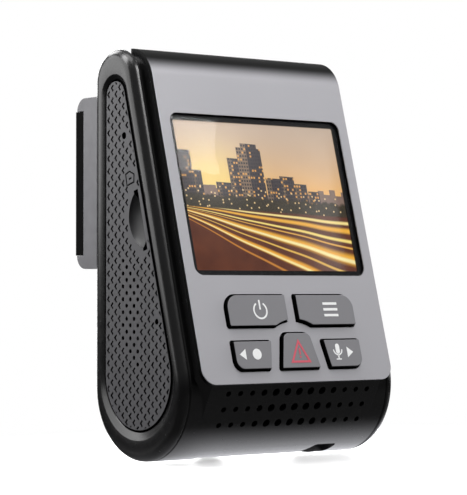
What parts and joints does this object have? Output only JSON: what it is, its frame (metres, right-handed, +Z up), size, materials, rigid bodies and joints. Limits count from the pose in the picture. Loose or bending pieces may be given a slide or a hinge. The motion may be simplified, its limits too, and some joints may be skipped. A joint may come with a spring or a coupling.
{
  "type": "dash camera",
  "caption": "Wedge-shaped dash camera with a tilted screen face, press keys, a tilting lens drum and a slide-off windscreen bracket.",
  "frame": {"origin": "centre of the adhesive pad's outer face, which sticks to the windscreen", "axes": "+Z up along the camera's height, +Y out of the adhesive pad towards the windscreen, +X across the camera to the right as seen from its screen side"},
  "size_m": [0.0532, 0.0419, 0.0783],
  "materials": {
    "gloss_black_plastic": "gloss",
    "satin_black_plastic": "satin",
    "face_grey_metallic": "satin metallic",
    "key_grey_plastic": "satin",
    "clear_glass": "clear",
    "display_black": "gloss",
    "adhesive_foam": "matte",
    "circuit_board": "satin",
    "screw_steel": "satin",
    "contact_brass": "polished",
    "socket_steel": "satin",
    "component_black": "matte",
    "cell_sleeve": "gloss",
    "plate_aluminium": "satin",
    "antenna_ceramic": "matte"
  },
  "bodies": {
    "bracket": {"bracket_base": "satin_black_plastic", "bracket_cover": "satin_black_plastic", "adhesive_pad": "adhesive_foam", "bracket_screws": "screw_steel", "position_board": "circuit_board", "position_antenna": "antenna_ceramic", "contact_pins": "contact_brass"},
    "camera": {"rear_housing": "gloss_black_plastic", "front_housing": "gloss_black_plastic", "contact_strip": "contact_brass", "face_panel": "face_grey_metallic", "screen_window": "clear_glass", "display_module": "display_black", "key_switches": "component_black", "key_board": "circuit_board", "key_board_screws": "screw_steel", "display_chassis": "plate_aluminium", "main_board": "circuit_board", "board_screws": "screw_steel", "card_socket": "socket_steel", "processor": "component_black", "heat_plate": "plate_aluminium", "supercapacitors": "cell_sleeve", "usb_socket": "socket_steel", "av_socket": "component_black", "reset_switch": "component_black", "speaker": "component_black", "microphone": "component_black", "housing_screws": "screw_steel", "left_side_cap": "gloss_black_plastic", "left_side_insert": "satin_black_plastic", "right_side_cap": "gloss_black_plastic", "right_side_insert": "satin_black_plastic", "drum_bay": "satin_black_plastic"},
    "lens_drum": {"drum_front_shell": "satin_black_plastic", "drum_rear_shell": "satin_black_plastic", "lens_barrel": "plate_aluminium", "lens_trim_ring": "plate_aluminium", "lens_front_glass": "clear_glass", "lens_inner_glass": "clear_glass", "lens_holder": "component_black", "sensor_board": "circuit_board", "image_sensor": "component_black", "infrared_filter": "clear_glass", "drum_screws": "screw_steel"},
    "power_key_body": {"power_key": "key_grey_plastic"},
    "menu_key_body": {"menu_key": "key_grey_plastic"},
    "record_key_body": {"record_key": "key_grey_plastic"},
    "event_key_body": {"event_key": "key_grey_plastic"},
    "voice_key_body": {"voice_key": "key_grey_plastic"}
  },
  "joints": [
    {"name": "camera_slide", "type": "slide", "parent": "bracket", "child": "camera", "axis": [1, 0, 0], "range_m": [0, 0.041]},
    {"name": "drum_tilt", "type": "hinge", "parent": "camera", "child": "lens_drum", "pos_m": [0, -0.023, -0.041], "axis": [-1, 0, 0], "range_deg": [-15, 45]},
    {"name": "power_key_press", "type": "slide", "parent": "camera", "child": "power_key_body", "axis": [0, 0.9647, -0.2633], "range_m": [0, 0.0004], "stiffness_N_per_m": 800, "springref_m": -0.0006},
    {"name": "menu_key_press", "type": "slide", "parent": "camera", "child": "menu_key_body", "axis": [0, 0.9647, -0.2633], "range_m": [0, 0.0004], "stiffness_N_per_m": 800, "springref_m": -0.0006},
    {"name": "record_key_press", "type": "slide", "parent": "camera", "child": "record_key_body", "axis": [0, 0.9647, -0.2633], "range_m": [0, 0.0004], "stiffness_N_per_m": 800, "springref_m": -0.0006},
    {"name": "event_key_press", "type": "slide", "parent": "camera", "child": "event_key_body", "axis": [0, 0.9647, -0.2633], "range_m": [0, 0.0004], "stiffness_N_per_m": 800, "springref_m": -0.0006},
    {"name": "voice_key_press", "type": "slide", "parent": "camera", "child": "voice_key_body", "axis": [0, 0.9647, -0.2633], "range_m": [0, 0.0004], "stiffness_N_per_m": 800, "springref_m": -0.0006}
  ]
}
